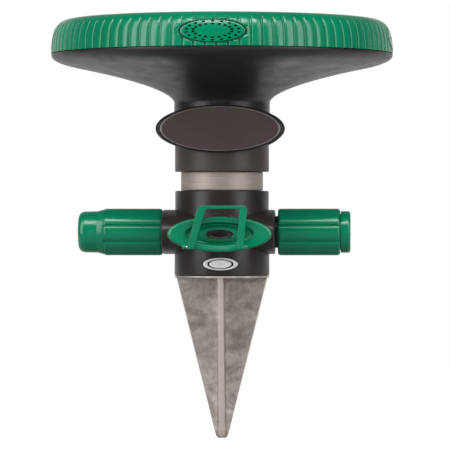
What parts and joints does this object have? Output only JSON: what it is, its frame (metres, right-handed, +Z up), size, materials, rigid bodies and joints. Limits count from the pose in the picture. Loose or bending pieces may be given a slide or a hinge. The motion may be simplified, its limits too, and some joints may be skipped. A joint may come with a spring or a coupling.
{
  "type": "dial lawn sprinkler",
  "caption": "Multi-pattern lawn sprinkler: turning dial head on a tilting, swivelling neck, flow-through tee with valve knob, and a ground spike.",
  "frame": {"origin": "on the upright axis at ground level, on the underside of the spike's flange", "axes": "+Z up along the upright axis, -Y towards the front with the valve knob, +X towards the inlet coupling"},
  "size_m": [0.2462, 0.2462, 0.3002],
  "materials": {
    "zinc": "as-cast zinc alloy, mottled, satin",
    "zinc_tube": "brushed",
    "steel": "bright plated",
    "brass": "machined",
    "black_plastic": "moulded satin black",
    "black_gloss": "moulded semi-gloss black",
    "black_matte": "fine matte texture",
    "green_plastic": "moulded semi-gloss green",
    "rubber": "black"
  },
  "bodies": {
    "base": {"spike": "zinc", "clamp_screw": "steel", "tee_body": "black_plastic", "riser_tube": "zinc_tube", "riser_clip": "steel", "riser_seal": "rubber", "gland_nut": "black_plastic", "spindle_seal": "rubber", "inlet_stub": "black_plastic", "outlet_stub": "black_plastic"},
    "valve": {"valve_plug": "brass", "valve_knob": "green_plastic", "knob_screw": "black_gloss", "bail_pin_left": "steel", "bail_pin_right": "steel"},
    "bail": {"bail": "green_plastic"},
    "inlet": {"inlet_nut": "green_plastic", "inlet_ring": "green_plastic", "inlet_washer": "rubber", "filter_screen": "steel"},
    "cap_carriage": {"cap_washer": "rubber"},
    "cap": {"outlet_cap": "green_plastic"},
    "swivel": {"sleeve": "black_plastic", "pivot_pin_front": "steel", "pivot_pin_rear": "steel", "front_plate": "black_matte", "rear_plate": "black_matte", "pivot_seal": "rubber"},
    "head": {"head_bowl": "black_gloss", "head_deck": "black_plastic", "port_duct": "black_plastic", "port_seal": "rubber", "port_spring": "steel"},
    "dial": {"dial_ring": "green_plastic", "dial_plate": "black_plastic", "shower_rose": "green_plastic", "flat_nozzle": "green_plastic", "jet_nozzle": "brass", "mist_nozzle": "green_plastic", "dial_washer": "steel", "dial_screw": "steel"}
  },
  "joints": [
    {"name": "head_swivel", "type": "hinge", "parent": "base", "child": "swivel", "pos_m": [0, 0, 0.0761], "axis": [0, 0, 1], "continuous": true},
    {"name": "head_tilt", "type": "hinge", "parent": "swivel", "child": "head", "pos_m": [0, 0, 0.1062], "axis": [0, 1, 0], "range_deg": [-27, 27]},
    {"name": "dial_turn", "type": "hinge", "parent": "head", "child": "dial", "pos_m": [0, 0, 0.161], "axis": [0, 0, 1], "continuous": true},
    {"name": "valve_turn", "type": "hinge", "parent": "base", "child": "valve", "pos_m": [0, 0, 0.0314], "axis": [0, 1, 0], "range_deg": [0, 90]},
    {"name": "bail_fold", "type": "hinge", "parent": "valve", "child": "bail", "pos_m": [0, -0.0575, 0.0222], "axis": [1, 0, 0], "range_deg": [0, 110]},
    {"name": "inlet_turn", "type": "hinge", "parent": "base", "child": "inlet", "pos_m": [0.0403, 0, 0.0328], "axis": [1, 0, 0], "continuous": true},
    {"name": "cap_travel", "type": "slide", "parent": "base", "child": "cap_carriage", "axis": [-1, 0, 0], "range_m": [0, 0.00907]},
    {"name": "cap_unscrew", "type": "hinge", "parent": "cap_carriage", "child": "cap", "pos_m": [-0.0426, 0, 0.0328], "axis": [-1, 0, 0], "range_deg": [0, 1801]}
  ],
  "couplings": [
    {"joint": "cap_unscrew", "follows": "cap_travel", "rad_per_m": 3463.8}
  ]
}
